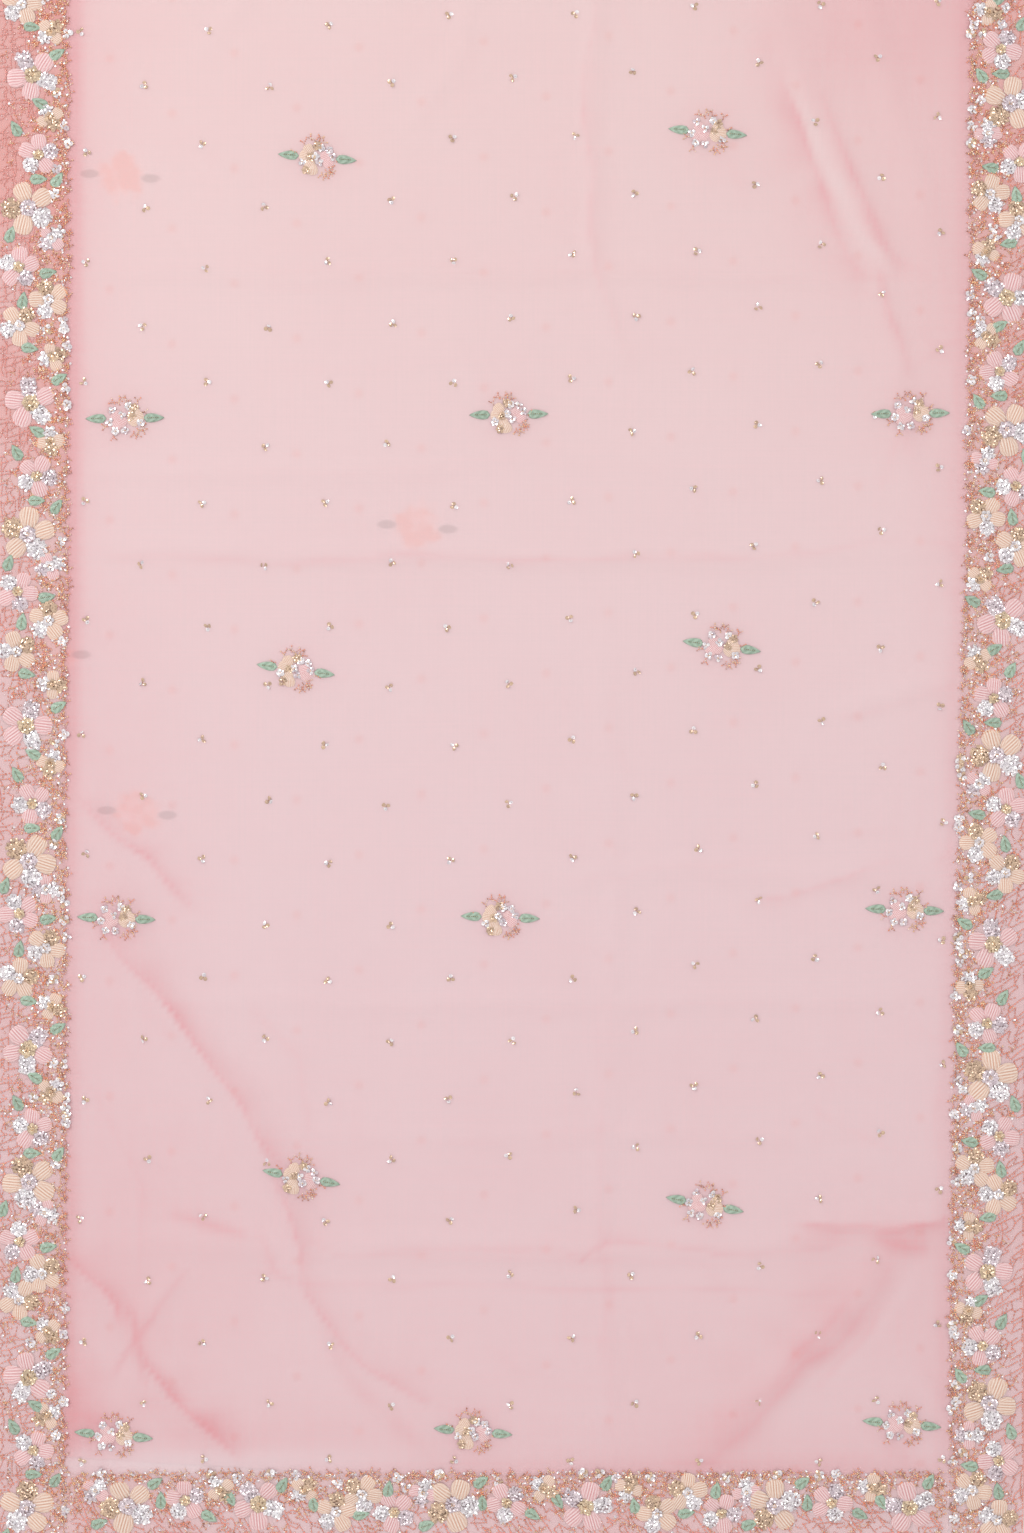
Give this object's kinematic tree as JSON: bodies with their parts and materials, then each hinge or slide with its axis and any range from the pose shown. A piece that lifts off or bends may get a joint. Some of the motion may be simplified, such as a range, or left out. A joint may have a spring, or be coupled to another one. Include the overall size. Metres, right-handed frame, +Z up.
{
  "type": "organza saree laid flat",
  "caption": "Sheer organza saree laid flat face up and folded back under itself, with raised floral embroidered borders and scattered embroidered sprays.",
  "frame": {"origin": "centre of the saree's footprint, on the surface it rests on", "axes": "+X across the cloth from the left border to the right one, +Y along the cloth away from the pallu's end, +Z up out of the face"},
  "size_m": [1.1419, 1.9, 0.0109],
  "materials": {
    "organza": "sheer pale pink organza with a soft sheen",
    "embroidery": "pink organza covered with thread flowers, sequins and beads"
  },
  "bodies": {
    "root": {"pallu_field": "organza", "hidden_layers": "organza", "border_left": "embroidery", "border_right": "embroidery", "border_end": "embroidery"}
  },
  "joints": []
}
